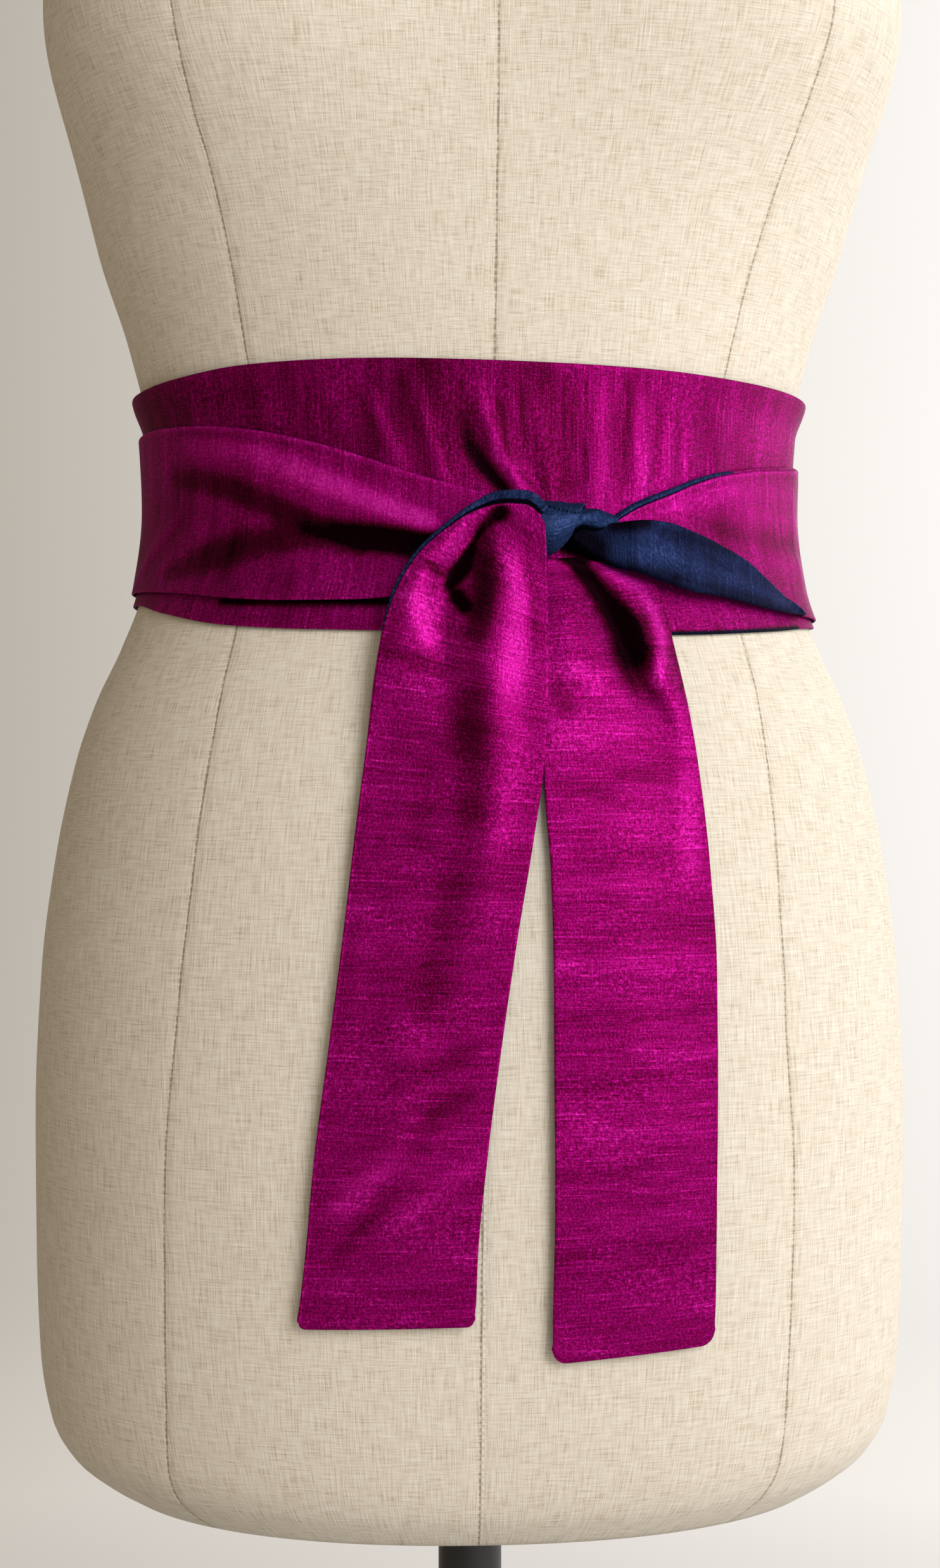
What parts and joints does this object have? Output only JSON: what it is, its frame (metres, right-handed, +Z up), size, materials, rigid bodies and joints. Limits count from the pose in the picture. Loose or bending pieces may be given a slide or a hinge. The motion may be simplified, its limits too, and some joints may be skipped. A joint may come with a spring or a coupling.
{
  "type": "obi sash on dress form",
  "caption": "Wide wound obi sash of reversible silk, tied in front with hanging tails, on a limbless dress form with pole and round base.",
  "frame": {"origin": "on the floor, at the centre of the round base's underside, under the pole", "axes": "+Z up along the pole; the form's front and the knot face -Y; the viewer's right is +X"},
  "size_m": [0.4, 0.4, 1.542],
  "materials": {
    "band_silk": "slubbed silk, lustrous",
    "tie_silk": "slubbed silk, lustrous",
    "tail_silk": "slubbed silk, lustrous",
    "reverse_silk": "slubbed silk, lustrous",
    "form_linen": "plain linen, matt",
    "stand_paint": "satin"
  },
  "bodies": {
    "root": {"band": "band_silk", "tie_left": "tie_silk", "tie_right": "tie_silk", "knot_core": "reverse_silk", "knot_wrap": "reverse_silk", "tail_left": "tail_silk", "tail_right": "tail_silk", "form_torso": "form_linen", "form_pole": "stand_paint", "form_base": "stand_paint"}
  },
  "joints": []
}
